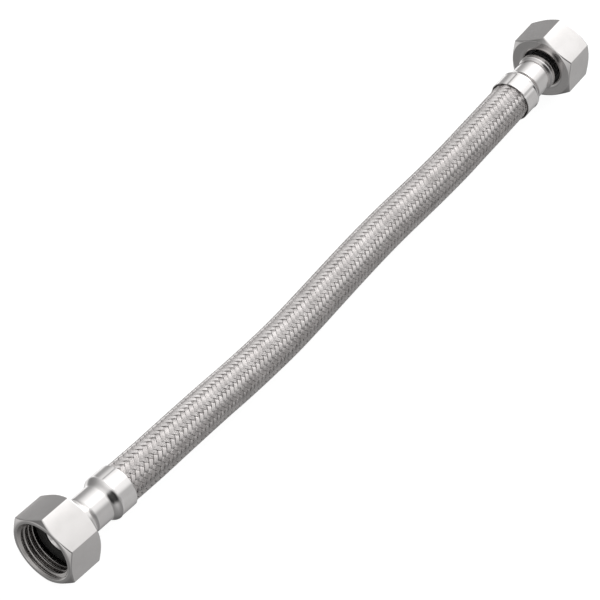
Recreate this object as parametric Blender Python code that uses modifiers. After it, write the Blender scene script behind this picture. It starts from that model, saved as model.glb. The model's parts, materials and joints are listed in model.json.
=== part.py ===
"""Braided supply line: a short stainless-braided hose with a swivel hex nut at each end.

Metres, +Z up. The line lies along X, resting on a flat of each nut and on the middle of the hose.
Each end is modelled along its own +Z, which runs from the nut's open face towards the hose,
with its own +X pointing up, and is then placed by an empty at the middle of the nut.
"""

import math

import bmesh
import bpy
import numpy as np
from mathutils import Matrix, Vector

# Whole line
overall_length = 0.300  # open face to open face, along X
end_a_turn = math.radians(-3.0)  # how far end A's axis swings from +X
end_b_turn = math.radians(2.2)  # how far end B's axis swings from -X

# Nut, with a G1/2 internal thread
nut_across_flats = 0.024
nut_length = 0.0142
nut_wall = 0.001522  # from a flat to the thread's roots
nut_face_margin = 0.0002  # from a flat to where the corner chamfer meets the end face
nut_chamfer_angle = math.radians(30)
nut_back_wall = 0.0023
nut_hole_chamfer = 0.0004
thread_depth = 0.001162
thread_pitch = 0.001814
thread_flank_angle = math.radians(27.5)
thread_root_flat = 0.0003
thread_to_washer = 0.0002  # from the relief behind the thread to the washer's face
mouth_margin = 0.000422  # of the mouth's chamfer past the thread's roots
mouth_chamfer_depth = 0.0013
relief_depth = 0.00017  # of the relief below the thread's roots

# Flat rubber washer
washer_clearance = 0.000316  # inside the thread's crests
washer_hole_radius = 0.0053
washer_thickness = 0.0022

# Insert: flange, stem through the nut, bead and barbed tail
flange_clearance = 0.000316  # inside the thread's crests
flange_thickness = 0.0014
stem_radius = 0.00585
bead_height = 0.0013
bead_width = 0.0027
bead_clearance = 0.0007  # the nut's back hole passes over the bead
bead_past_nut = 0.0019  # from the nut's back face to the bead
tail_wall = 0.0005
barb_height = 0.00032
barb_play = 0.00033  # between the barbs and the tube, which the drawn tube leaves open
barb_pitch = 0.0022
barb_count = 4
tail_tip = 0.0010

# Slip ring on the stem, between the flange and the nut's back wall
slip_ring_thickness = 0.0004
slip_ring_clearance = 0.000216  # inside the thread's crests
slip_ring_play = 0.0002  # around the stem

# Ferrule
neck_length = 0.0071
shoulder_length = 0.0031
barrel_length = 0.0068
ferrule_neck_wall = 0.0005
ferrule_barrel_wall = 0.0006
shoulder_wall = 0.0004  # between the hose's end and the start of the full barrel
crimp_flat_depth = 0.00018
crimp_flat_length = 0.0046
crimp_jaws = 6
crimp_turns = {"a": math.radians(-6), "b": math.radians(14)}  # of the top flat, about each end

# Hose
braid_radius = 0.0072
braid_wall = 0.0006
braid_play = 0.00035  # between the braid and the tube
tube_wall = 0.0018
hose_straight = 0.0138  # out of the ferrule, along its axis
hose_sides_level = 4
hose_diameters_per_point = 1.0

gap = 0.0003  # between pieces that seat on each other

# The middle of the hose, by hand: it dips to the surface and bows to -Y
hose_middle = [
    (-0.088, -0.00260, 0.01150),
    (-0.076, -0.00295, 0.01040),
    (-0.064, -0.00335, 0.00890),
    (-0.052, -0.00390, 0.00780),
    (-0.040, -0.00425, 0.00735),
    (-0.026, -0.00440, 0.00725),
    (-0.013, -0.00405, 0.00725),
    (0.000, -0.00350, 0.00725),
    (0.013, -0.00297, 0.00725),
    (0.026, -0.00255, 0.00725),
    (0.040, -0.00236, 0.00735),
    (0.052, -0.00247, 0.00780),
    (0.064, -0.00258, 0.00890),
    (0.076, -0.00250, 0.01040),
    (0.088, -0.00208, 0.01150),
]

fine_sides = 40
inner_sides = 32
thread_steps = 24  # per turn

# Radii that follow from the nut's flats
thread_major_radius = nut_across_flats / 2 - nut_wall
thread_minor_radius = thread_major_radius - thread_depth
mouth_radius = thread_major_radius + mouth_margin
nut_face_radius = nut_across_flats / 2 - nut_face_margin
washer_radius = thread_minor_radius - washer_clearance
flange_radius = thread_minor_radius - flange_clearance
slip_ring_radius = thread_minor_radius - slip_ring_clearance

# Radii that follow from the stem
bead_radius = stem_radius + bead_height
nut_back_hole_radius = bead_radius + bead_clearance
neck_radius = stem_radius + gap + ferrule_neck_wall

# Radii that follow from the braid, outwards to the ferrule and inwards to the waterway
barrel_radius = braid_radius + gap + ferrule_barrel_wall
tube_radius = braid_radius - braid_wall - braid_play
tail_radius = tube_radius - tube_wall - barb_play - barb_height
bore_radius = tail_radius - tail_wall

# Places along an end's axis, from the nut's open face
nut_floor = nut_length - nut_back_wall
flange_back = nut_floor - slip_ring_thickness - 2 * gap
flange_front = flange_back - flange_thickness
washer_front = flange_front - gap - washer_thickness
thread_length = washer_front - thread_to_washer
bead_start = nut_length + bead_past_nut
bead_end = bead_start + bead_width
ferrule_front = bead_end + gap
shoulder_start = ferrule_front + neck_length
barrel_start = shoulder_start + shoulder_length
ferrule_back = barrel_start + barrel_length
hose_end = barrel_start + shoulder_wall
insert_back = hose_end + barb_count * barb_pitch + tail_tip
axis_height = nut_across_flats / 2
end_reach = overall_length / 2 - nut_length / 2  # middle of the line to the middle of a nut


def clear_scene():
    for thing in list(bpy.data.objects):
        bpy.data.objects.remove(thing, do_unlink=True)


def new_collection(name, hidden=False):
    collection = bpy.data.collections.new(name)
    bpy.context.scene.collection.children.link(collection)
    collection.hide_render = hidden
    return collection


def new_material(name, color, metallic, roughness):
    material = bpy.data.materials.new(name)
    material.use_nodes = True
    shader = material.node_tree.nodes["Principled BSDF"]
    shader.inputs["Base Color"].default_value = (*color, 1.0)
    shader.inputs["Metallic"].default_value = metallic
    shader.inputs["Roughness"].default_value = roughness
    return material


def new_object(name, mesh, collection, material=None):
    thing = bpy.data.objects.new(name, mesh)
    collection.objects.link(thing)
    if material and not mesh.materials:
        mesh.materials.append(material)
    return thing


def as_cutter(thing):
    thing.hide_render = True
    thing.display_type = "WIRE"
    return thing


def turned(name, outline, sides, collection, closed=True):
    """Turns (place along Z, radius) points about Z. The outline runs down its outer side."""
    mesh = bpy.data.meshes.new(name)
    points = [(radius, 0.0, along) for along, radius in outline]
    edges = [(i, i + 1) for i in range(len(points) - 1)]
    if closed:
        edges.append((len(points) - 1, 0))
    mesh.from_pydata(points, edges, [])
    thing = new_object(name, mesh, collection)
    screw = thing.modifiers.new("turn", "SCREW")
    screw.axis = "Z"
    screw.steps = screw.render_steps = sides
    screw.use_merge_vertices = True
    screw.merge_threshold = 1e-6
    return thing


def baked(thing, name):
    """The evaluated mesh of a finished object, under its own name."""
    bpy.context.view_layer.update()
    graph = bpy.context.evaluated_depsgraph_get()
    mesh = bpy.data.meshes.new_from_object(thing.evaluated_get(graph))
    mesh.name = name
    mesh.shade_smooth()
    mesh.set_sharp_from_angle(angle=math.radians(35))
    return mesh


def cut(thing, cutter, operation="DIFFERENCE"):
    boolean = thing.modifiers.new(cutter.name, "BOOLEAN")
    boolean.operation = operation
    boolean.object = cutter


def quarter(along, radius, size, start, steps=3):
    """Points of a quarter round about (along, radius), from the start angle a quarter turn on."""
    angles = [start + i * math.pi / 2 / steps for i in range(steps + 1)]
    return [(along + size * math.cos(a), radius + size * math.sin(a)) for a in angles]


def hex_prism(collection):
    mesh = bpy.data.meshes.new("nut_hexagon")
    body = bmesh.new()
    corner = nut_across_flats / math.sqrt(3)
    bmesh.ops.create_cone(
        body, cap_ends=True, segments=6, radius1=corner, radius2=corner, depth=nut_length,
        matrix=Matrix.Translation((0, 0, nut_length / 2)),
    )
    body.to_mesh(mesh)
    body.free()
    return new_object("nut_hexagon", mesh, collection)


def corner_limits(collection):
    """The turned shape that chamfers the hexagon's corners at both ends."""
    past_corner = nut_across_flats / math.sqrt(3) + gap
    slope = math.tan(nut_chamfer_angle)
    depth = (past_corner - nut_face_radius) * slope
    extra = gap * slope  # the cones start a little outside the end faces
    outline = [
        (nut_length + extra, 0.0),
        (nut_length + extra, nut_face_radius - gap),
        (nut_length - depth, past_corner),
        (depth, past_corner),
        (-extra, nut_face_radius - gap),
        (-extra, 0.0),
    ]
    return as_cutter(turned("nut_corner_limits", outline, 2 * inner_sides, collection, closed=False))


def nut_hollow(collection):
    """Mouth, threaded bore at its minor radius, relief and back hole, as one turned cutter."""
    relief_radius = thread_major_radius + relief_depth
    mouth_slope = (mouth_radius - thread_minor_radius) / mouth_chamfer_depth
    outline = [
        (nut_length + gap, 0.0),
        (nut_length + gap, nut_back_hole_radius + nut_hole_chamfer + gap),
        (nut_length - nut_hole_chamfer, nut_back_hole_radius),
        (nut_floor, nut_back_hole_radius),
        (nut_floor, relief_radius),
        (thread_length, relief_radius),
        (thread_length - relief_depth, thread_minor_radius),
        (mouth_chamfer_depth, thread_minor_radius),
        (-gap, mouth_radius + gap * mouth_slope),
        (-gap, 0.0),
    ]
    return as_cutter(turned("nut_hollow", outline, fine_sides, collection, closed=False))


def thread_groove(collection):
    """One right-hand helical groove, swept from outside the mouth into the relief."""
    inside = thread_minor_radius - gap
    half_root = thread_root_flat / 2
    half_mouth = half_root + (thread_major_radius - inside) * math.tan(thread_flank_angle)
    turns = math.ceil((thread_length + 1.6 * thread_pitch) / thread_pitch * thread_steps) / thread_steps
    start = -0.85 * thread_pitch
    section = [
        (inside, start - half_mouth),
        (thread_major_radius, start - half_root),
        (thread_major_radius, start + half_root),
        (inside, start + half_mouth),
    ]
    body = bmesh.new()
    corners = [body.verts.new((radius, 0.0, along)) for radius, along in section]
    face = body.faces.new(corners)
    steps = round(turns * thread_steps)
    bmesh.ops.spin(
        body, geom=[face, *face.edges, *face.verts], cent=(0, 0, 0), axis=(0, 0, 1),
        dvec=(0, 0, thread_pitch / thread_steps), angle=turns * math.tau, steps=steps,
        use_merge=False, use_duplicate=False,
    )
    bmesh.ops.recalc_face_normals(body, faces=body.faces)
    mesh = bpy.data.meshes.new("thread_groove")
    body.to_mesh(mesh)
    body.free()
    return as_cutter(new_object("thread_groove", mesh, collection))


def nut_mesh(cutters, material):
    hexagon = hex_prism(cutters)
    cut(hexagon, corner_limits(cutters), "INTERSECT")
    cut(hexagon, nut_hollow(cutters))
    cut(hexagon, thread_groove(cutters))
    mesh = baked(hexagon, "nut")
    mesh.materials.append(material)
    as_cutter(hexagon)
    return mesh


def washer_mesh(cutters, material):
    outline = [
        (washer_front + washer_thickness, washer_hole_radius),
        (washer_front + washer_thickness, washer_radius),
        (washer_front, washer_radius),
        (washer_front, washer_hole_radius),
    ]
    mesh = baked(as_cutter(turned("washer_blank", outline, inner_sides, cutters)), "washer")
    mesh.materials.append(material)
    return mesh


def slip_ring_mesh(cutters, material):
    back = nut_floor - gap
    hole_radius = stem_radius + slip_ring_play
    outline = [
        (back, hole_radius),
        (back, slip_ring_radius),
        (back - slip_ring_thickness, slip_ring_radius),
        (back - slip_ring_thickness, hole_radius),
    ]
    mesh = baked(as_cutter(turned("slip_ring_blank", outline, inner_sides, cutters)), "slip_ring")
    mesh.materials.append(material)
    return mesh


def tail_outline():
    """The barbed tail from its tip to the stem: each barb rises towards the stem, then drops."""
    points = [(insert_back, tail_radius - barb_height)]
    for barb in reversed(range(barb_count)):
        foot = hose_end + (barb + 0.5) * barb_pitch
        points.append((foot + 0.5 * barb_pitch, tail_radius))
        points.append((foot, tail_radius + barb_height))
        points.append((foot - gap / 2, tail_radius))
    return points


def insert_mesh(cutters, material):
    rim = bead_width / 3
    bead_foot = bead_radius - rim
    stem_back = hose_end - gap
    outline = [
        *tail_outline(),
        (stem_back, tail_radius),
        (stem_back, stem_radius),
        (bead_end, stem_radius),
        *quarter(bead_end - rim, bead_foot, rim, 0.0),
        *quarter(bead_start + rim, bead_foot, rim, math.pi / 2),
        (bead_start, stem_radius),
        (flange_back, stem_radius),
        (flange_back, flange_radius),
        (flange_front, flange_radius),
        (flange_front, bore_radius),
        (insert_back, bore_radius),
    ]
    mesh = baked(as_cutter(turned("insert_blank", outline, inner_sides, cutters)), "insert")
    mesh.materials.append(material)
    return mesh


def shoulder_outline(steps=4):
    """The smooth rise from the neck to the barrel, a half wave, read from the barrel down."""
    rise = barrel_radius - neck_radius
    shares = [i / steps for i in range(steps, -1, -1)]
    return [
        (shoulder_start + share * shoulder_length, neck_radius + rise * (1 - math.cos(math.pi * share)) / 2)
        for share in shares
    ]


def crimp_cutter(turned_by, cutters):
    """Six blocks whose inner faces press flats into the barrel, the first one near the top."""
    body = bmesh.new()
    flat = barrel_radius - crimp_flat_depth
    middle = (barrel_start + ferrule_back) / 2
    for jaw in range(crimp_jaws):
        turn = Matrix.Rotation(turned_by + math.tau * jaw / crimp_jaws, 4, "Z")
        place = Matrix.Translation((flat + barrel_radius / 4, 0, middle))
        size = Matrix.Diagonal((barrel_radius / 2, barrel_radius * 0.7, crimp_flat_length, 1))
        bmesh.ops.create_cube(body, size=1, matrix=turn @ place @ size)
    mesh = bpy.data.meshes.new("crimp_jaws")
    body.to_mesh(mesh)
    body.free()
    return as_cutter(new_object("crimp_jaws", mesh, cutters))


def ferrule_mesh(crimp_turn, cutters, material):
    wall = ferrule_barrel_wall
    barrel_bore = barrel_radius - ferrule_barrel_wall
    neck_bore = neck_radius - ferrule_neck_wall
    step = hose_end - gap
    outline = [
        *quarter(ferrule_back - wall, barrel_bore, wall, 0.0),
        *shoulder_outline(),
        (ferrule_front, neck_radius),
        (ferrule_front, neck_bore),
        (step, neck_bore),
        (step, barrel_bore),
    ]
    blank = turned("ferrule_blank", outline, fine_sides, cutters)
    cut(blank, crimp_cutter(crimp_turn, cutters))
    mesh = baked(as_cutter(blank), "ferrule")
    mesh.materials.append(material)
    return mesh


def end_frame(side, turn):
    """The middle of a nut: +Z along the end's axis towards the hose, +X up."""
    inward = Vector((-side * math.cos(turn), -side * math.sin(turn), 0.0))
    up = Vector((0.0, 0.0, 1.0))
    across = inward.cross(up)
    turned_axes = Matrix((up, across, inward)).transposed().to_4x4()
    return Matrix.Translation((side * end_reach, 0.0, axis_height)) @ turned_axes


def place_end(letter, frame, meshes, parts):
    """An empty on the end's axis, at the middle of the nut, carries the end's pieces."""
    carrier = bpy.data.objects.new(f"end_{letter}", None)
    carrier.empty_display_size = nut_across_flats
    carrier.matrix_world = frame
    parts.objects.link(carrier)
    for name, mesh in meshes.items():
        piece = new_object(f"{name}_{letter}", mesh, parts)
        piece.parent = carrier
        piece.location = (0.0, 0.0, -nut_length / 2)


def along_axis(frame, place):
    """The point of an end's axis at a place counted from the nut's open face."""
    return np.array(frame @ Vector((0.0, 0.0, place - nut_length / 2)))


def hose_route(frame_a, frame_b):
    """Straight out of each ferrule, then through the hand-set points."""
    ends = [hose_end, ferrule_back + gap, ferrule_back + hose_straight]
    start = [along_axis(frame_a, place) for place in ends]
    finish = [along_axis(frame_b, place) for place in reversed(ends)]
    return np.array([*start, *hose_middle, *finish])


def smooth_route(points, samples=12):
    """Catmull-Rom through the points: each span is a cubic whose end slopes lie along its
    neighbours' chords. The first and last spans stay straight inside the ferrules."""
    chords = np.linalg.norm(np.diff(points, axis=0), axis=1)
    knots = np.concatenate([[0.0], np.cumsum(chords)])
    slopes = np.gradient(points, knots, axis=0)
    slopes[1] = slopes[0]
    slopes[-2] = slopes[-1]
    share = np.linspace(0.0, 1.0, samples, endpoint=False)[:, None]
    pieces = []
    for i, length in enumerate(chords):
        a, b = points[i], points[i + 1]
        u, v = slopes[i] * length, slopes[i + 1] * length
        pieces.append(
            a * (2 * share**3 - 3 * share**2 + 1) + u * (share**3 - 2 * share**2 + share)
            + b * (3 * share**2 - 2 * share**3) + v * (share**3 - share**2)
        )
    return np.concatenate([*pieces, points[-1:]])


def spaced(points, step):
    """Points at even steps along a fine line, with the straight ends kept."""
    lengths = np.concatenate([[0.0], np.cumsum(np.linalg.norm(np.diff(points, axis=0), axis=1))])
    inset = ferrule_back - hose_end + gap
    count = max(2, round((lengths[-1] - 2 * inset) / step))
    stations = np.concatenate([[0.0], np.linspace(inset, lengths[-1] - inset, count + 1), lengths[-1:]])
    return np.stack([np.interp(stations, lengths, points[:, axis]) for axis in range(3)], axis=1)


def hose_layer(name, route, radius, wall, material, parts):
    """An open tube along the route, thickened inwards."""
    curve = bpy.data.curves.new(name, "CURVE")
    curve.dimensions = "3D"
    curve.bevel_depth = radius
    curve.bevel_resolution = hose_sides_level
    curve.twist_mode = "MINIMUM"
    spline = curve.splines.new("POLY")
    spline.points.add(len(route) - 1)
    for point, place in zip(spline.points, route):
        point.co = (*place, 1.0)
    curve.materials.append(material)
    layer = bpy.data.objects.new(name, curve)
    parts.objects.link(layer)
    shell = layer.modifiers.new("wall", "SOLIDIFY")
    shell.thickness = wall
    shell.offset = -1.0
    shell.use_even_offset = True
    return layer


def main():
    clear_scene()
    parts = new_collection("braided_supply_line")
    cutters = new_collection("cutters", hidden=True)
    plated = new_material("plated_brass", (0.80, 0.79, 0.77), 1.0, 0.18)
    steel = new_material("polished_steel", (0.78, 0.77, 0.75), 1.0, 0.14)
    brass = new_material("nickel_brass", (0.76, 0.74, 0.70), 1.0, 0.22)
    black_rubber = new_material("black_rubber", (0.025, 0.025, 0.025), 0.0, 0.7)
    nylon = new_material("black_nylon", (0.03, 0.03, 0.032), 0.0, 0.5)
    tube_rubber = new_material("tube_rubber", (0.05, 0.05, 0.05), 0.0, 0.8)
    braid_steel = new_material("braid_wire", (0.66, 0.64, 0.61), 1.0, 0.32)

    meshes = {
        "nut": nut_mesh(cutters, plated),
        "slip_ring": slip_ring_mesh(cutters, nylon),
        "gasket": washer_mesh(cutters, black_rubber),
        "insert": insert_mesh(cutters, brass),
    }
    ferrules = {letter: ferrule_mesh(turn, cutters, steel) for letter, turn in crimp_turns.items()}
    frame_a = end_frame(-1, end_a_turn)
    frame_b = end_frame(1, end_b_turn)
    place_end("a", frame_a, {**meshes, "ferrule": ferrules["a"]}, parts)
    place_end("b", frame_b, {**meshes, "ferrule": ferrules["b"]}, parts)

    step = 2 * braid_radius * hose_diameters_per_point
    route = spaced(smooth_route(hose_route(frame_a, frame_b)), step)
    hose_layer("inner_tube", route, tube_radius, tube_wall, tube_rubber, parts)
    hose_layer("braid", route, braid_radius, braid_wall, braid_steel, parts)


main()
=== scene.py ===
import json
import math

import bpy
import numpy as np
from mathutils import Matrix


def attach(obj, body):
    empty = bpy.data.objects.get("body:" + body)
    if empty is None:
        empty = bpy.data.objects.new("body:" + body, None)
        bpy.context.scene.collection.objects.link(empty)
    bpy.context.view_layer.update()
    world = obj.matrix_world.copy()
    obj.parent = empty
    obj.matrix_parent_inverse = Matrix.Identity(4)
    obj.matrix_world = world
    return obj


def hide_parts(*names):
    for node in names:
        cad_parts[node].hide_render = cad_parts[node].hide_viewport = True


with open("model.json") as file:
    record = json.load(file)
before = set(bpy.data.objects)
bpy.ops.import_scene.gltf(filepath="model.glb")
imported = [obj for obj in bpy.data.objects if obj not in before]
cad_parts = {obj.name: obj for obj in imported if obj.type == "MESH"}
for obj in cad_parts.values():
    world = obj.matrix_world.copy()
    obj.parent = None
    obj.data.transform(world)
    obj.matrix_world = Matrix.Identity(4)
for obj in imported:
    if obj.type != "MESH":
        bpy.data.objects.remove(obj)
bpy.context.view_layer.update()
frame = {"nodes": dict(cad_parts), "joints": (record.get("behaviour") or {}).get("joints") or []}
print("frame loaded,", len(frame["nodes"]), "nodes")

gap = 0.0003      # what seated pieces keep between them
turnedSides = 96  # columns round each small turned piece

camera = {
    "place": (-0.58235, -0.02035, 0.82427), "pan": 2.098, "tilt": 54.972, "roll": 43.147,
    "lens": 176.8, "sensor": 36.0, "clip": (0.05, 20.0),
}


def makeCamera():
    pan, tilt, roll = (math.radians(camera[key]) for key in ("pan", "tilt", "roll"))
    ahead = np.array([math.cos(tilt) * math.cos(pan), math.cos(tilt) * math.sin(pan), -math.sin(tilt)])
    level = np.cross(ahead, [0.0, 0.0, 1.0])
    level /= np.linalg.norm(level)
    upright = np.cross(level, ahead)
    right = math.cos(roll) * level + math.sin(roll) * upright
    top = math.cos(roll) * upright - math.sin(roll) * level
    data = bpy.data.cameras.new("camera")
    data.lens = camera["lens"]
    data.sensor_width = camera["sensor"]
    data.clip_start, data.clip_end = camera["clip"]
    viewer = bpy.data.objects.new("camera", data)
    bpy.context.scene.collection.objects.link(viewer)
    turned = Matrix(np.stack([right, top, -ahead], axis=1).tolist()).to_4x4()
    viewer.matrix_world = Matrix.Translation(camera["place"]) @ turned
    bpy.context.scene.camera = viewer


makeCamera()
print("camera placed")


# A mesh from points and quads, with any further faces, turned so that its faces point outwards
def meshFrom(name, points, quads, caps=()):
    points = np.asarray(points, np.float64).reshape(-1, 3)
    quads = np.asarray(quads, np.int64).reshape(-1, 4)
    a, b, c, d = (points[quads[:, i]] for i in range(4))
    volume = np.einsum("ij,ij->i", a, np.cross(b, c)).sum() + np.einsum("ij,ij->i", a, np.cross(c, d)).sum()
    faces = [quads] + [np.asarray(cap, np.int64).reshape(1, -1) for cap in caps]
    if volume < 0:
        faces = [block[:, ::-1] for block in faces]
    corners = np.concatenate([block.ravel() for block in faces])
    sizes = np.concatenate([np.full(len(block), block.shape[1]) for block in faces])
    starts = np.concatenate([[0], np.cumsum(sizes)[:-1]])
    mesh = bpy.data.meshes.new(name)
    mesh.vertices.add(len(points))
    mesh.vertices.foreach_set("co", points.astype(np.float32).ravel())
    mesh.loops.add(len(corners))
    mesh.loops.foreach_set("vertex_index", corners.astype(np.int32))
    mesh.polygons.add(len(sizes))
    mesh.polygons.foreach_set("loop_start", starts.astype(np.int32))
    mesh.update(calc_edges=True)
    mesh.validate()
    mesh.shade_smooth()
    return mesh


# Quads between neighbouring rows and columns of a grid; columns close on themselves, rows may
def gridQuads(rows, columns, closedRows=True):
    index = np.arange(rows * columns).reshape(rows, columns)
    below = np.roll(index, -1, axis=0)
    quads = np.stack([index, np.roll(index, -1, axis=1), np.roll(below, -1, axis=1), below], axis=-1)
    return quads if closedRows else quads[:-1]


def newPiece(name, mesh, materials, body, slot, *nodes):
    for material in materials:
        mesh.materials.append(material)
    piece = bpy.data.objects.new(name, mesh)
    bpy.context.scene.collection.objects.link(piece)
    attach(piece, body)
    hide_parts(*nodes)
    return piece


# Rounds each corner of a closed outline: the corner P becomes the curve
# (1-t)^2 S + 2t(1-t) P + t^2 E between points S and E on its two sides, with a point just outside
# each that keeps the flat beside it flat. Corners are (count, 2) or (count, columns, 2). A short
# side gives at most cutShare of its length to the curve, and holdShare with the point outside.
def softened(corners, softness, steps=5, hold=0.00004, cutShare=0.42, holdShare=0.47):
    corners = np.asarray(corners, float)
    cut = np.broadcast_to(softness, corners.shape[:1])
    t = np.linspace(0.0, 1.0, steps)
    out = []
    for i, corner in enumerate(corners):
        sides = [corners[i - 1] - corner, corners[(i + 1) % len(corners)] - corner]
        lengths = [np.maximum(np.linalg.norm(side, axis=-1, keepdims=True), 1e-9) for side in sides]
        near = [np.minimum(cut[i], cutShare * length) for length in lengths]
        start, stop = (corner + side / length * n for side, length, n in zip(sides, lengths, near))
        held = [corner + side / length * np.minimum(n + hold, holdShare * length)
                for side, length, n in zip(sides, lengths, near)]
        out.append(held[0])
        out.extend((1 - k) ** 2 * start + 2 * k * (1 - k) * corner + k**2 * stop for k in t)
        out.append(held[1])
    return np.stack(out)


# Radius, angle from the top and place along an end's axis, as points of the whole line
def onEnd(end, radius, angle, place):
    radius, angle, place = np.broadcast_arrays(radius, angle, place)
    return (end["face"] + (radius * np.cos(angle))[..., None] * end["up"]
            + (radius * np.sin(angle))[..., None] * end["across"] + place[..., None] * end["inward"])


# A turned piece: an outline of (place, radius) corners, softened, carried round the end's axis
def turnedPiece(name, end, outline, softness, *rest):
    profile = softened(outline, softness)
    angles = np.linspace(0.0, math.tau, turnedSides, endpoint=False)
    points = onEnd(end, profile[:, 1, None], angles[None, :], profile[:, 0, None])
    mesh = meshFrom(name, points, gridQuads(len(profile), turnedSides))
    return newPiece(name, mesh, *rest)


def nodeIn(tree, kind, **settings):
    node = tree.nodes.new(kind)
    for key, value in settings.items():
        setattr(node, key, value)
    return node


# Soft noise on the piece's own coordinates
def noiseOn(tree, scale, detail, roughness):
    coordinates = nodeIn(tree, "ShaderNodeTexCoord")
    noise = nodeIn(tree, "ShaderNodeTexNoise")
    noise.inputs["Scale"].default_value = scale
    noise.inputs["Detail"].default_value = detail
    noise.inputs["Roughness"].default_value = roughness
    tree.links.new(coordinates.outputs["Object"], noise.inputs["Vector"])
    return noise.outputs["Fac"]


noiseSpread = (0.3, 0.7)  # where in the noise a ramp starts and ends


# A ramp over the noise, from one colour or grey to another
def rampOn(tree, factor, *values):
    ramp = nodeIn(tree, "ShaderNodeValToRGB")
    for element, place, value in zip(ramp.color_ramp.elements, noiseSpread, values):
        element.position = place
        element.color = (*value, 1.0) if isinstance(value, tuple) else (value, value, value, 1.0)
    tree.links.new(factor, ramp.inputs["Fac"])
    return ramp.outputs["Color"]


def bumpFrom(tree, height, strength, distance):
    bump = nodeIn(tree, "ShaderNodeBump")
    bump.inputs["Strength"].default_value = strength
    bump.inputs["Distance"].default_value = distance
    tree.links.new(height, bump.inputs["Height"])
    return bump.outputs["Normal"]


# One finish: colour and roughness each run between two values by their own noise, over a fine bump
def finish(name, look):
    material = bpy.data.materials.new(name)
    material.use_nodes = True
    tree = material.node_tree
    shader = tree.nodes["Principled BSDF"]
    shader.inputs["Metallic"].default_value = look["metallic"]
    tone = noiseOn(tree, look["toneScale"], detail=4.0, roughness=0.5)
    color = rampOn(tree, tone, look["dark"], look["light"])
    tree.links.new(color, shader.inputs["Base Color"])
    gloss = noiseOn(tree, look["glossScale"], detail=5.0, roughness=0.6)
    roughness = rampOn(tree, gloss, look["smooth"], look["rough"])
    tree.links.new(roughness, shader.inputs["Roughness"])
    grain = noiseOn(tree, look["grainScale"], detail=3.0, roughness=0.7)
    normal = bumpFrom(tree, grain, look["grain"], look["grainDepth"])
    tree.links.new(normal, shader.inputs["Normal"])
    return material


looks = {
    "platedNut": {
        "metallic": 1.0, "dark": (0.605, 0.588, 0.579), "light": (0.645, 0.628, 0.620),
        "smooth": 0.13, "rough": 0.19, "toneScale": 160.0, "glossScale": 420.0,
        "grainScale": 2600.0, "grain": 0.06, "grainDepth": 0.00002,
    },
    # Painted shade: the plated metal made darker for the inside of the nut, and rougher like a cut thread
    "boreWithPaintedShade": {
        "metallic": 1.0, "dark": (0.45, 0.432, 0.42), "light": (0.51, 0.492, 0.48),
        "smooth": 0.24, "rough": 0.30, "toneScale": 300.0, "glossScale": 700.0,
        "grainScale": 1200.0, "grain": 0.01, "grainDepth": 0.00001,
    },
    "polishedFerrule": {
        "metallic": 1.0, "dark": (0.71, 0.692, 0.685), "light": (0.76, 0.742, 0.735),
        "smooth": 0.13, "rough": 0.20, "toneScale": 120.0, "glossScale": 380.0,
        "grainScale": 2200.0, "grain": 0.08, "grainDepth": 0.00003,
    },
    "nickelInsert": {
        "metallic": 1.0, "dark": (0.69, 0.672, 0.664), "light": (0.75, 0.732, 0.724),
        "smooth": 0.16, "rough": 0.24, "toneScale": 200.0, "glossScale": 500.0,
        "grainScale": 2400.0, "grain": 0.1, "grainDepth": 0.00003,
    },
    "blackRubber": {
        "metallic": 0.0, "dark": (0.010, 0.010, 0.010), "light": (0.022, 0.021, 0.020),
        "smooth": 0.55, "rough": 0.75, "toneScale": 400.0, "glossScale": 900.0,
        "grainScale": 3500.0, "grain": 0.4, "grainDepth": 0.00005,
    },
    "blackNylon": {
        "metallic": 0.0, "dark": (0.024, 0.024, 0.025), "light": (0.036, 0.036, 0.038),
        "smooth": 0.4, "rough": 0.55, "toneScale": 300.0, "glossScale": 600.0,
        "grainScale": 2500.0, "grain": 0.2, "grainDepth": 0.00004,
    },
    "braidWire": {
        "metallic": 1.0, "dark": (0.60, 0.574, 0.565), "light": (0.77, 0.740, 0.730),
        "smooth": 0.20, "rough": 0.34, "toneScale": 260.0, "glossScale": 700.0,
        "grainScale": 4000.0, "grain": 0.1, "grainDepth": 0.00002,
    },
    "tubeRubber": {
        "metallic": 0.0, "dark": (0.012, 0.012, 0.012), "light": (0.03, 0.03, 0.03),
        "smooth": 0.6, "rough": 0.8, "toneScale": 300.0, "glossScale": 700.0,
        "grainScale": 2500.0, "grain": 0.3, "grainDepth": 0.00005,
    },
}
finishes = {name: finish(name, look) for name, look in looks.items()}
print("finishes made")

nut = {
    "acrossFlats": 0.0241, "length": 0.0142, "faceRadius": 0.0118, "chamferAngle": 30.0,
    "crown": 0.00013,          # how far a flat falls away from its middle to its corners
    "crownReach": 0.62,        # radians from a flat's middle, past its corners, where the fall ends
    "cornerSharpness": 260.0,  # higher gives sharper corners
    "backWall": 0.0023, "holeRadius": 0.00734,
    "mouthRadius": 0.0107, "mouthDepth": 0.00138, "mouthStart": 0.0002,
    "minorRadius": 0.009316, "majorRadius": 0.010478, "pitch": 0.001814,
    "rootFlat": 0.0003, "crestFlat": 0.0001, "threadLength": 0.0068, "grooveStart": -0.84,
    "reliefRadius": 0.010648, "reliefDepth": 0.00017, "reliefRun": 0.0004,
    "mouthSoftness": 0.0002, "faceSoftness": 0.0006, "edgeSoftness": 0.00035,
    "backSoftness": 0.00018, "holeSoftness": 0.0016, "floorSoftness": 0.0001,
    "reliefSoftness": 0.00005,
    # Rows past these corners take the darker finish, which is painted shade inside the bore
    "cornersBeforePaintedShade": 7.5,      # from the mouth's to the middle of the floor's outer one
    "columnsPerFlat": 36, "columnCrowding": 0.65, "threadRows": 260,
}


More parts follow.
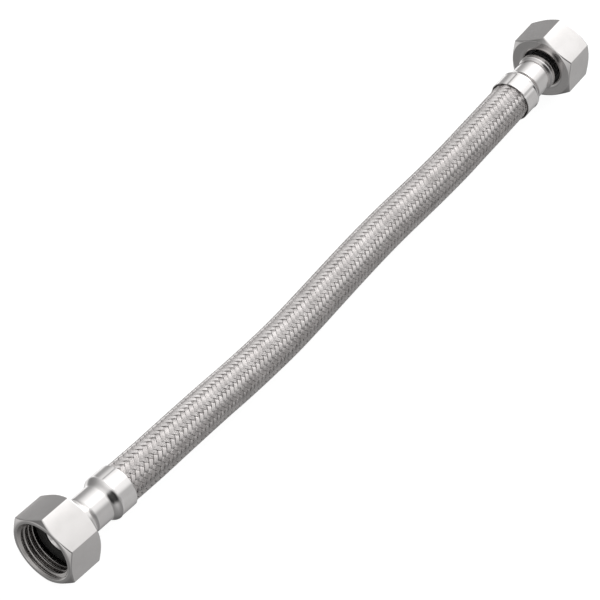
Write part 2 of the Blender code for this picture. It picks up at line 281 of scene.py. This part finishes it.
# The outline of a hexagon with soft corners and crowned flats, as radius by angle:
# apothem over the p-norm of the cosines of the angles to the six flats, where each flat falls
# short of the apothem by crown times the cube of its tangent, which is 1 at a corner
def hexRadius(angle):
    apothem = nut["acrossFlats"] / 2
    sixth = math.tau / 6
    total = 0.0
    for flat in range(6):
        fromFlat = (angle - flat * sixth + math.pi) % math.tau - math.pi
        near = np.clip(fromFlat, -nut["crownReach"], nut["crownReach"])
        fall = nut["crown"] * np.abs(math.sqrt(3) * np.tan(near)) ** 3
        nearness = np.maximum(np.cos(fromFlat), 0.0) * apothem / (apothem - fall)
        total = total + nearness ** nut["cornerSharpness"]
    return apothem / total ** (1 / nut["cornerSharpness"])


# Radius of the thread at an angle and a place: a right-hand groove with round flanks, where
# the radius falls from major to minor by 3c^2 - 2c^3, with c climbing from 0 to 1 over the flank
def threadRadius(angle, place):
    turns = (place / nut["pitch"] - angle / math.tau - nut["grooveStart"]) % 1.0
    fromGroove = np.minimum(turns, 1.0 - turns) * nut["pitch"]
    depth = nut["majorRadius"] - nut["minorRadius"]
    run = (nut["pitch"] - nut["rootFlat"] - nut["crestFlat"]) / 2
    climb = np.clip((fromGroove - nut["rootFlat"] / 2) / run, 0.0, 1.0)
    return nut["majorRadius"] - depth * climb * climb * (3 - 2 * climb)


# Angles round the nut, crowded towards its corners by a share of a sine
def nutAngles():
    t = np.linspace(-1.0, 1.0, nut["columnsPerFlat"], endpoint=False)
    sixth = math.tau / 6
    crowding = nut["columnCrowding"]
    within = (np.sin(t * math.pi / 2) * crowding + t * (1 - crowding)) * sixth / 2
    return (np.arange(6)[:, None] * sixth + within[None, :]).ravel()


# The nut: softened corners from the open face round the outside to the relief, then the thread,
# whose radius is the largest of thread, mouth and relief at each place
def makeNut(letter):
    angle = nutAngles()
    outer = hexRadius(angle)
    fall = (outer - nut["faceRadius"]) * math.tan(math.radians(nut["chamferAngle"]))
    length, mouthStart = nut["length"], nut["mouthStart"]
    mouthSlope = (nut["mouthRadius"] - nut["minorRadius"]) / nut["mouthDepth"]
    corners = [  # place, radius and softness
        (mouthStart, nut["mouthRadius"] - mouthStart * mouthSlope, 0.0),
        (0.0, nut["mouthRadius"], nut["mouthSoftness"]),
        (0.0, nut["faceRadius"], nut["faceSoftness"]),
        (fall, outer, nut["edgeSoftness"]),
        (length - fall, outer, nut["edgeSoftness"]),
        (length, nut["faceRadius"], nut["backSoftness"]),
        (length, nut["holeRadius"], nut["holeSoftness"]),
        (nutFloor, nut["holeRadius"], nut["floorSoftness"]),
        (nutFloor, nut["reliefRadius"], nut["floorSoftness"]),
        (nut["threadLength"], nut["reliefRadius"], nut["reliefSoftness"]),
    ]
    outline = [np.stack(np.broadcast_arrays(place, radius, angle)[:2], axis=-1)
               for place, radius, softness in corners]
    around = softened(outline, np.array([softness for place, radius, softness in corners]))
    rowsEach = len(around) // len(corners)
    around = around[rowsEach:]
    place = np.linspace(nut["threadLength"], mouthStart, nut["threadRows"])[1:, None]
    place = place * np.ones_like(angle)[None, :]
    inside = np.maximum(threadRadius(angle[None, :], place), nut["mouthRadius"] - place * mouthSlope)
    runOut = np.maximum(nut["threadLength"] - nut["reliefDepth"] - place, 0) / nut["reliefRun"]
    relief = nut["reliefRadius"] - runOut * (nut["reliefRadius"] - nut["minorRadius"])
    inside = np.maximum(inside, relief)
    profile = np.concatenate([around, np.stack([place, inside], axis=-1)])
    points = onEnd(ends[letter], profile[..., 1], angle[None, :], profile[..., 0])
    mesh = meshFrom("hex_nut_" + letter, points, gridQuads(len(profile), len(angle)))
    newPiece("hex_nut_" + letter, mesh, [finishes["platedNut"], finishes["boreWithPaintedShade"]],
             "nut_" + letter, "nut", "nut_" + letter)
    # Faces from the middle of the floor's outer corner on, through the relief, the thread and the mouth,
    # take the darker finish: painted shade inside the nut's bore
    rowOfFace = np.repeat(np.arange(len(profile)), len(angle))
    dark = rowOfFace >= nut["cornersBeforePaintedShade"] * rowsEach
    mesh.polygons.foreach_set("material_index", dark.astype(np.int32))


washer = {"radius": 0.0090, "holeRadius": 0.0053, "thickness": 0.0022, "softness": 0.00025}
slipRing = {"thickness": 0.0004, "radius": 0.0091, "play": 0.0002, "softness": 0.00009}
insert = {
    "noseInset": 0.0003, "noseRadius": 0.0050, "noseMouth": 0.00475,
    "flangeRadius": 0.0090, "flangeThickness": 0.0014, "stemRadius": 0.00585,
    "beadStart": 0.0133, "beadTop": (0.0166, 0.0177), "beadRadius": 0.0072,
    "groove": 0.0189, "grooveRadius": 0.00654, "beadEnd": 0.0196, "beadRows": 24,
    "seam": 0.00003,  # between the bead and the ferrule's front
    "boreRadius": 0.0033, "tailRadius": 0.0038, "barbHeight": 0.00032, "barbPitch": 0.0022,
    "barbCount": 4, "tailTip": 0.0010, "softness": 0.00018,
}


# The bead's radius by place, in half waves: up from the stem, a flat top, down to a shallow groove
# at the ferrule's front, and up to the ferrule's neck
def beadRadiusAt(place):
    places = np.array([insert["beadStart"], *insert["beadTop"], insert["groove"], insert["beadEnd"]])
    radii = np.array([insert["stemRadius"], insert["beadRadius"], insert["beadRadius"],
                      insert["grooveRadius"], ferrule["neckRadius"]])
    step = np.clip(np.searchsorted(places, place, side="right") - 1, 0, len(places) - 2)
    share = np.clip((place - places[step]) / (places[step + 1] - places[step]), 0.0, 1.0)
    return radii[step] + (radii[step + 1] - radii[step]) * (1 - np.cos(math.pi * share)) / 2


# The insert's outline: a countersunk nose, the flange, the stem with its bead, and the barbed tail
def insertOutline():
    stem, tail, barb = insert["stemRadius"], insert["tailRadius"], insert["barbHeight"]
    bore, nose, mouth = insert["boreRadius"], insert["noseRadius"], insert["noseMouth"]
    noseFront = washerFront + insert["noseInset"]
    points = [
        (noseFront + mouth - bore, bore), (noseFront, mouth), (noseFront, nose), (flangeFront, nose),
        (flangeFront, insert["flangeRadius"]), (flangeBack, insert["flangeRadius"]), (flangeBack, stem),
    ]
    beadBack = ferrule["front"] - insert["seam"]
    places = np.linspace(insert["beadStart"], beadBack, insert["beadRows"])
    points += list(zip(places, beadRadiusAt(places)))
    points += [(beadBack, stem), (hoseEnd - gap, stem), (hoseEnd - gap, tail)]
    for count in range(insert["barbCount"]):
        foot = hoseEnd + (count + 0.5) * insert["barbPitch"]
        points += [(foot, tail), (foot + gap / 2, tail + barb), (foot + insert["barbPitch"] / 2, tail)]
    points += [(insertBack, tail - barb), (insertBack, bore)]
    return points


def box(front, back, inner, outer):
    return [(front, inner), (front, outer), (back, outer), (back, inner)]


def makeSmallTurned(letter):
    end = ends[letter]
    turnedPiece(
        "rubber_washer_" + letter, end,
        box(washerFront, washerFront + washer["thickness"], washer["holeRadius"], washer["radius"]),
        washer["softness"], [finishes["blackRubber"]], "hose", "gasket", "gasket_" + letter)
    turnedPiece(
        "nylon_slip_ring_" + letter, end,
        box(nutFloor - gap - slipRing["thickness"], nutFloor - gap,
            insert["stemRadius"] + slipRing["play"], slipRing["radius"]),
        slipRing["softness"], [finishes["blackNylon"]], "ring_" + letter, "slip_ring", "slip_ring_" + letter)
    turnedPiece(
        "barbed_insert_" + letter, end, insertOutline(), insert["softness"],
        [finishes["nickelInsert"]], "hose", "insert", "insert_" + letter)


ferrule = {
    "front": 0.01888, "neckRadius": 0.00665, "neckEnd": 0.0262, "neckWall": 0.0005,
    "shoulderLength": 0.0031, "shoulderWall": 0.0004,
    "barrelRadius": 0.00810, "barrelLength": 0.0068, "barrelBore": 0.00742,
    "mouthRadius": 0.00764, "mouthDepth": 0.0012, "lipInset": 0.00025,
    "rimSoftness": 0.0004, "mouthSoftness": 0.00012, "throatSoftness": 0.0002, "boreSoftness": 0.0001,
    "jaws": 6, "jawStep": 0.00006, "jawEdge": 0.0005, "flattened": 0.00006,
    "creaseTurn": {"a": 24.0, "b": -19.0}, "creaseDepth": {"a": 0.00022, "b": 0.00034},
    "creaseSteep": {"a": 0.00022, "b": 0.00042}, "creaseGentle": 0.0022,
    "columns": 360, "lipRows": 12, "shoulderRows": 26, "barrelRows": 32,
}


# How far the jaws press the barrel in at an angle: flattest midway between two creases, where
# each jaw met the next. A crease u away is depth / (1 + (u / width)^2)^2 deep, and it is steeper
# on the side towards the top.
def pressed(angle, letter):
    jaw = math.tau / ferrule["jaws"]
    within = (angle - math.radians(ferrule["creaseTurn"][letter]) + jaw / 2) % jaw - jaw / 2
    away = within * ferrule["barrelRadius"]
    towardsTop = away * np.sin(angle - within) < 0
    width = np.where(towardsTop, ferrule["creaseSteep"][letter], ferrule["creaseGentle"])
    crease = ferrule["creaseDepth"][letter] / (1 + (away / width) ** 2) ** 2
    return crease + ferrule["flattened"] * (1 - np.cos(math.tau * within / jaw)) / 2 + ferrule["jawStep"]


# The ferrule: lip, neck, a half-wave shoulder and the crimped barrel, whose mouth stands off the
# braid. The jaws press only the outside, and their depth grows by 3r^2 - 2r^3 over the jaws' edge.
def makeFerrule(letter):
    angle = np.linspace(0.0, math.tau, ferrule["columns"], endpoint=False)
    neck, barrel, front = ferrule["neckRadius"], ferrule["barrelRadius"], ferrule["front"]
    neckBore, barrelBore = neck - ferrule["neckWall"], ferrule["barrelBore"]
    rim, soft = ferrule["rimSoftness"], ferrule["boreSoftness"]
    share = np.linspace(0.0, 1.0, ferrule["shoulderRows"])
    shoulder = np.stack([ferrule["neckEnd"] + share * ferrule["shoulderLength"],
                         neck + (barrel - neck) * (1 - np.cos(math.pi * share)) / 2], axis=1)
    places = np.linspace(barrelStart, ferruleBack - rim, ferrule["barrelRows"] + 2)[1:-1]
    outside = np.stack([places, np.full_like(places, barrel)], axis=1)
    places = np.linspace(front + ferrule["lipInset"], insert["beadEnd"], ferrule["lipRows"])
    lip = np.stack([places, beadRadiusAt(places)], axis=1)
    corners = np.array([  # place, radius and softness
        (ferruleBack - rim, barrel, 0.0),
        (ferruleBack, barrel, rim),
        (ferruleBack, ferrule["mouthRadius"], ferrule["mouthSoftness"]),
        (ferruleBack - ferrule["mouthDepth"], barrelBore, ferrule["throatSoftness"]),
        (hoseEnd - gap, barrelBore, soft),
        (hoseEnd - gap, neckBore, soft),
        (front, neckBore, soft),
        (front, beadRadiusAt(front), soft),
        (*lip[0], 0.0),
    ])
    bore = softened(corners[:, :2], corners[:, 2])
    rowsEach = len(bore) // len(corners)
    profile = np.concatenate([bore[rowsEach:-rowsEach], lip, shoulder, outside])
    ramp = np.clip((profile[:, 0] - barrelStart) / ferrule["jawEdge"], 0, 1)
    ramp = ramp * ramp * (3 - 2 * ramp) * (profile[:, 1] > (barrel + ferrule["mouthRadius"]) / 2)
    radius = profile[:, 1, None] - ramp[:, None] * pressed(angle, letter)[None, :]
    points = onEnd(ends[letter], radius, angle[None, :], profile[:, 0, None])
    mesh = meshFrom("crimped_ferrule_" + letter, points, gridQuads(len(profile), len(angle)))
    newPiece("crimped_ferrule_" + letter, mesh, [finishes["polishedFerrule"]],
             "hose", "ferrule", "ferrule_" + letter)


# Places along an end's axis, from the nut's open face
nutFloor = nut["length"] - nut["backWall"]
flangeBack = nutFloor - slipRing["thickness"] - 2 * gap
flangeFront = flangeBack - insert["flangeThickness"]
washerFront = flangeFront - gap - washer["thickness"]
barrelStart = ferrule["neckEnd"] + ferrule["shoulderLength"]
ferruleBack = barrelStart + ferrule["barrelLength"]
hoseEnd = barrelStart + ferrule["shoulderWall"]
insertBack = hoseEnd + insert["barbCount"] * insert["barbPitch"] + insert["tailTip"]


# The axes of one end: its open face, and the ways up, across and along it towards the hose
def endOf(letter):
    joint = next(j for j in frame["joints"] if j["name"] == "swivel_" + letter)
    inward = np.array(joint["axis"], float)
    inward /= np.linalg.norm(inward)
    up = np.array([0.0, 0.0, 1.0])
    face = np.array(joint["pos_m"], float) - inward * nut["length"] / 2
    return {"face": face, "up": up, "across": np.cross(inward, up), "inward": inward}


ends = {letter: endOf(letter) for letter in "ab"}

hose = {
    "diameter": 0.0144,
    "straight": 0.0138,  # beyond each ferrule's back
    "middle": [          # it dips to the surface and bows sideways
        (-0.088, -0.00260, 0.01150), (-0.076, -0.00295, 0.01040), (-0.064, -0.00335, 0.00890),
        (-0.052, -0.00390, 0.00780), (-0.040, -0.00425, 0.00735), (-0.026, -0.00440, 0.00725),
        (-0.013, -0.00405, 0.00725), (0.000, -0.00350, 0.00725), (0.013, -0.00297, 0.00725),
        (0.026, -0.00255, 0.00725), (0.040, -0.00236, 0.00735), (0.052, -0.00247, 0.00780),
        (0.064, -0.00258, 0.00890), (0.076, -0.00250, 0.01040), (0.088, -0.00208, 0.01150),
    ],
}


# Straight out of each ferrule, then through the given points
def hoseRoute():
    places = [hoseEnd, ferruleBack + gap, ferruleBack + hose["straight"]]
    start = [onEnd(ends["a"], 0.0, 0.0, place) for place in places]
    far = [onEnd(ends["b"], 0.0, 0.0, place) for place in reversed(places)]
    return np.array([*start, *hose["middle"], *far])


# Each span is a cubic whose end slopes lie along its neighbours' chords; the first and last stay
# straight. At t along it, it is a(2t^3-3t^2+1) + u(t^3-2t^2+t) + b(3t^2-2t^3) + v(t^3-t^2), with
# a and b its ends and u and v their slopes.
def smoothRoute(points, samples=24):
    chords = np.linalg.norm(np.diff(points, axis=0), axis=1)
    knots = np.concatenate([[0.0], np.cumsum(chords)])
    slopes = np.gradient(points, knots, axis=0)
    slopes[1], slopes[-2] = slopes[0], slopes[-1]
    t = np.linspace(0.0, 1.0, samples, endpoint=False)[:, None]
    a, b = points[:-1, None], points[1:, None]
    u, v = slopes[:-1, None] * chords[:, None, None], slopes[1:, None] * chords[:, None, None]
    spans = (a * (2 * t**3 - 3 * t**2 + 1) + u * (t**3 - 2 * t**2 + t)
             + b * (3 * t**2 - 2 * t**3) + v * (t**3 - t**2))
    return np.concatenate([spans.reshape(-1, 3), points[-1:]])


# The centreline as a table: length so far, point, and the directions that stay square to it
# without twisting, "top" near the world's up and "side" = along x top
def centreTable(points):
    along = np.gradient(points, axis=0)
    along /= np.linalg.norm(along, axis=1, keepdims=True)
    length = np.concatenate([[0.0], np.cumsum(np.linalg.norm(np.diff(points, axis=0), axis=1))])
    top = np.empty_like(points)
    up = np.array([0.0, 0.0, 1.0])
    for i, way in enumerate(along):
        up = up - way * (up @ way)
        up /= np.linalg.norm(up)
        top[i] = up
    return {"length": length, "point": points, "top": top, "side": np.cross(along, top), "total": length[-1]}


centre = centreTable(smoothRoute(hoseRoute()))
print("hose centreline", round(centre["total"] * 1000, 1), "mm")


# A point, top or side of the centreline at a length along it
def centreAt(length, key):
    return np.stack([np.interp(length, centre["length"], centre[key][:, i]) for i in range(3)], axis=-1)


# Points at a length along the hose, an angle round it from the top and a radius
def onHose(length, angle, radius):
    length, angle, radius = np.broadcast_arrays(length, angle, radius)
    return (centreAt(length, "point") + (radius * np.cos(angle))[..., None] * centreAt(length, "top")
            + (radius * np.sin(angle))[..., None] * centreAt(length, "side"))


tube = {"radius": 0.00645, "wall": 0.0018, "sides": 40, "rowSpacing": 0.0015, "sharpAngle": 50.0}


# The rubber tube inside the braid: an outer wall and an inner one, joined at both ends
def makeTube():
    rows = int(centre["total"] / tube["rowSpacing"])
    length = np.linspace(0.0, centre["total"], rows)
    angles = np.linspace(0.0, math.tau, tube["sides"], endpoint=False)
    outer = onHose(length[:, None], angles[None, :], tube["radius"])
    inner = onHose(length[::-1, None], angles[None, :], tube["radius"] - tube["wall"])
    mesh = meshFrom("rubber_tube", np.concatenate([outer, inner]), gridQuads(2 * rows, tube["sides"]))
    mesh.set_sharp_from_angle(angle=math.radians(tube["sharpAngle"]))
    return newPiece("rubber_tube", mesh, [finishes["tubeRubber"]], "hose", "inner_tube", "inner_tube")


braid = {
    "strands": 18, "strandsPerPiece": 6,        # in each direction
    "wires": 7, "wirePitch": 0.000206, "wireRadius": 0.0001,
    "wireHeight": 0.9, "wireFlat": 0.22,        # shares of a wire's radius and of the wire pitch
    "backDepth": 0.8, "backInset": 0.2,         # the same shares, for the ribbon's flat back
    "crown": 0.00002,                           # how far its edges lie below its middle
    "middleRadius": 0.00696, "rise": 0.00019, "floatFlatness": 2.0,
    "pitchNear": 0.00216, "pitchFar": 0.00200,  # along the hose, from one strand to the next
    "turn": -10.0, "extraTurn": 5.0, "stepsPerCrossing": 2.6,
    "wander": 0.00001, "wanderWaves": (310.0, 730.0),
    "firstSeed": 3, "sharpAngle": 75.0,
}


# How far round the hose a strand has wound by each length: its pitch runs from near to far
def windingTable():
    length = centre["length"]
    share = length / centre["total"]
    pitch = braid["pitchNear"] + (braid["pitchFar"] - braid["pitchNear"]) * share
    rate = math.tau / braid["strands"] / pitch
    steps = np.diff(length) * (rate[1:] + rate[:-1]) / 2
    return {"angle": np.concatenate([[0.0], np.cumsum(steps)]), "rate": rate}


winding = windingTable()


# The ribbon's own outline, across and outwards: round wires side by side over a flat back
def ribbonOutline():
    wires, pitch, radius = braid["wires"], braid["wirePitch"], braid["wireRadius"]
    middles = (np.arange(wires) - (wires - 1) / 2) * pitch
    height, flat, inset = radius * braid["wireHeight"], pitch * braid["wireFlat"], pitch * braid["backInset"]
    across = np.stack([middles - pitch / 2, middles - flat, middles + flat], axis=1).ravel()
    out = np.tile([0.0, height, height], wires)
    edge = middles[-1] + pitch / 2
    back = -radius * braid["backDepth"]
    across = np.concatenate([across, [edge, edge - inset, inset - edge]])
    out = np.concatenate([out, [0.0, back, back]])
    return across, out - braid["crown"] * (across / edge) ** 2


# Strands of one direction (1 or -1). A strand is a ribbon of wires along a helix. It rises over two
# strands of the other direction and dips under two: with c counting the strands that it has met,
# its lift is tanh(k cos(pi/2 (c - 1/2))) / tanh(k), and the other direction's is the opposite.
def strandPoints(direction, numbers, seed):
    spacing = math.tau / braid["strands"]
    radius = braid["middleRadius"]
    across, out = ribbonOutline()
    crossings = centre["total"] / braid["pitchFar"] * 2
    rows = int(crossings * braid["stepsPerCrossing"])
    length = np.linspace(0.0, centre["total"], rows)[None, :, None]
    number = np.asarray(numbers)[:, None, None]
    turn = math.radians(braid["turn"]) + math.radians(braid["extraTurn"]) * (length / centre["total"]) ** 2
    wound = np.interp(length, centre["length"], winding["angle"])
    slope = np.arctan(radius * np.interp(length, centre["length"], winding["rate"]))
    phases = np.random.default_rng(seed).uniform(0.0, math.tau, (2, len(numbers), 1, 1))
    waves = [np.sin(length * wave + phase) for wave, phase in zip(braid["wanderWaves"], phases)]
    offset = across[None, None, :] + braid["wander"] * (waves[0] + waves[1])
    place = np.clip(length - direction * offset * np.sin(slope), 0.0, centre["total"])
    angle = turn + direction * wound + number * spacing + offset * np.cos(slope) / radius
    woundHere = np.interp(place, centre["length"], winding["angle"])
    met = number + (angle + direction * woundHere - turn) / spacing
    flatness = braid["floatFlatness"]
    lift = np.tanh(flatness * np.cos(math.pi / 2 * (met - 0.5))) / math.tanh(flatness)
    return onHose(place, angle, radius + direction * braid["rise"] * lift + out[None, None, :])


# Some strands of one direction as one piece, each closed by a cap at both ends
def strandPiece(name, direction, numbers, seed):
    points = strandPoints(direction, numbers, seed)
    strands, rows, columns = points.shape[:3]
    quads = gridQuads(rows, columns, closedRows=False)
    starts = np.arange(strands) * rows * columns
    ring = np.arange(columns)
    caps = [cap for start in starts for cap in (start + ring[::-1], start + (rows - 1) * columns + ring)]
    mesh = meshFrom(name, points, quads[None] + starts[:, None, None, None], caps)
    mesh.set_sharp_from_angle(angle=math.radians(braid["sharpAngle"]))
    return newPiece(name, mesh, [finishes["braidWire"]], "hose", "braid", "braid")


def makeBraid():
    pieces = []
    each = braid["strandsPerPiece"]
    for word, direction in (("right", 1), ("left", -1)):
        for group in range(braid["strands"] // each):
            numbers = group * each + np.arange(each)
            seed = 10 * group + direction + braid["firstSeed"]
            pieces.append(strandPiece(f"braid_{word}_{group + 1}", direction, numbers, seed))
    return pieces


rubberTube = makeTube()
braidPieces = makeBraid()
tuple(onEnd(ends["a"], 0.0, 0.0, ferruleBack))
print("hose made,", len(braidPieces), "braid pieces")

for letter in "ab":
    makeNut(letter)
print("nuts made")

for letter in "ab":
    makeSmallTurned(letter)
print("washers, slip rings and inserts made")

for letter in "ab":
    makeFerrule(letter)
print("ferrules made")

studio = {
    "floorColor": 0.25, "floorGlow": 0.90, "floorRoughness": 0.9,
    "floorSize": 4.0, "floorDrop": 0.00008,  # the floor lies just below the line
    "wallGlow": 1.0,
    "darkWay": (-0.556, -0.370, 0.746), "darkInner": 0.965, "darkOuter": 0.80, "darkShare": 0.06,
}

# The light from each way round the line: from straight down (0) by the +Y side, the top (0.5)
# and the -Y side to straight down again (1)
roundLight = [
    (0.00, 0.40), (0.07, 1.05), (0.10, 1.35), (0.132, 0.66), (0.168, 0.44), (0.225, 0.54), (0.27, 0.82),
    (0.316, 1.18), (0.361, 1.50), (0.41, 1.78), (0.455, 1.82), (0.484, 1.72), (0.4975, 1.32), (0.52, 1.29),
    (0.541, 1.28), (0.585, 1.00), (0.63, 0.64), (0.70, 0.69), (0.76, 0.66), (0.81, 0.63), (0.86, 0.53),
    (0.93, 0.36), (1.00, 0.45),
]

# The share of it that stays at each step from behind the near end (0) to beyond the far end (1),
# on the +Y side and on the -Y side
leftLight = [
    (0.0, 0.65), (0.08, 0.48), (0.18, 0.48), (0.27, 0.58), (0.50, 0.66), (0.738, 0.93),
    (0.833, 1.0), (0.90, 1.6), (1.0, 1.6),
]
rightLight = [
    (0.0, 1.8), (0.10, 0.95), (0.20, 0.82), (0.30, 0.55), (0.42, 0.46), (0.60, 0.44),
    (0.70, 0.76), (0.738, 0.95), (0.833, 1.0), (0.88, 0.62), (1.0, 0.48),
]

# Which side's share counts at each way round: the +Y side's (0) or the -Y side's (1)
rightShare = [(0.0, 0.0), (0.47, 0.0), (0.56, 1.0), (0.96, 1.0), (1.0, 0.3)]


# A sum, product or the like of one or two values
def mathOn(tree, operation, first, second=None):
    node = nodeIn(tree, "ShaderNodeMath", operation=operation)
    for socket, value in zip(node.inputs, (first, second)):
        if isinstance(value, (int, float)):
            socket.default_value = value
        elif value is not None:
            tree.links.new(value, socket)
    return node.outputs[0]


# A smooth curve through stops over 0..1
def curveOn(tree, share, stops):
    highest = max(value for place, value in stops)
    curve = nodeIn(tree, "ShaderNodeFloatCurve")
    line = curve.mapping.curves[0]
    while len(line.points) < len(stops):
        line.points.new(0.5, 0.5)
    for point, (place, value) in zip(line.points, stops):
        point.location = (place, value / highest)
        point.handle_type = "AUTO_CLAMPED"
    curve.mapping.update()
    tree.links.new(share, curve.inputs["Value"])
    return mathOn(tree, "MULTIPLY", curve.outputs[0], highest)


# A share of the light that is 1 everywhere but in a soft round patch beside the viewer
def darkPatchOn(tree, direction):
    nearness = nodeIn(tree, "ShaderNodeVectorMath", operation="DOT_PRODUCT")
    nearness.inputs[1].default_value = studio["darkWay"]
    tree.links.new(direction, nearness.inputs[0])
    patch = nodeIn(tree, "ShaderNodeMapRange", interpolation_type="SMOOTHSTEP")
    for name, value in (("From Min", studio["darkOuter"]), ("From Max", studio["darkInner"]),
                        ("To Min", 1.0), ("To Max", studio["darkShare"])):
        patch.inputs[name].default_value = value
    tree.links.new(nearness.outputs["Value"], patch.inputs["Value"])
    return patch.outputs["Result"]


# The studio's light by its direction: round the line, times the share along it, times the dark patch
def makeLight():
    world = bpy.data.worlds.new("studio")
    bpy.context.scene.world = world
    world.use_nodes = True
    tree = world.node_tree
    direction = nodeIn(tree, "ShaderNodeTexCoord").outputs["Generated"]
    split = nodeIn(tree, "ShaderNodeSeparateXYZ")
    tree.links.new(direction, split.inputs["Vector"])
    x, y, z = split.outputs
    # atan2(-y, z) is -pi below, 0 above and pi below again
    turn = mathOn(tree, "ARCTAN2", mathOn(tree, "MULTIPLY", y, -1.0), z)
    roll = mathOn(tree, "ADD", mathOn(tree, "DIVIDE", turn, math.tau), 0.5)
    around = curveOn(tree, roll, roundLight)
    step = mathOn(tree, "ADD", mathOn(tree, "MULTIPLY", x, 0.5), 0.5)
    left, right = curveOn(tree, step, leftLight), curveOn(tree, step, rightLight)
    toRight = curveOn(tree, roll, rightShare)
    change = mathOn(tree, "MULTIPLY", toRight, mathOn(tree, "SUBTRACT", right, left))
    light = mathOn(tree, "MULTIPLY", around, mathOn(tree, "ADD", left, change))
    light = mathOn(tree, "MULTIPLY", light, darkPatchOn(tree, direction))
    # Above the floor's edge the viewer sees a plain pale wall, not the light itself
    seen = nodeIn(tree, "ShaderNodeLightPath").outputs["Is Camera Ray"]
    unseen = mathOn(tree, "MULTIPLY", light, mathOn(tree, "SUBTRACT", 1.0, seen))
    strength = mathOn(tree, "ADD", unseen, mathOn(tree, "MULTIPLY", seen, studio["wallGlow"]))
    background = tree.nodes["Background"]
    tree.links.new(strength, background.inputs["Strength"])
    background.inputs["Color"].default_value = (1.0, 1.0, 1.0, 1.0)


def makeFloor():
    size = studio["floorSize"]
    corners = [(-size, -size, 0), (size, -size, 0), (size, size, 0), (-size, size, 0)]
    mesh = bpy.data.meshes.new("floor")
    mesh.from_pydata(corners, [], [(0, 1, 2, 3)])
    floor = bpy.data.objects.new("floor", mesh)
    bpy.context.scene.collection.objects.link(floor)
    floor.location.z = -studio["floorDrop"]
    material = bpy.data.materials.new("paleFloor")
    material.use_nodes = True
    shader = material.node_tree.nodes["Principled BSDF"]
    shader.inputs["Base Color"].default_value = (studio["floorColor"],) * 3 + (1.0,)
    shader.inputs["Roughness"].default_value = studio["floorRoughness"]
    shader.inputs["Emission Color"].default_value = (1.0, 1.0, 1.0, 1.0)
    shader.inputs["Emission Strength"].default_value = studio["floorGlow"]
    mesh.materials.append(material)
    floor.visible_glossy = False


makeLight()
makeFloor()
bpy.context.scene.view_settings.view_transform = "Standard"
print("studio made")
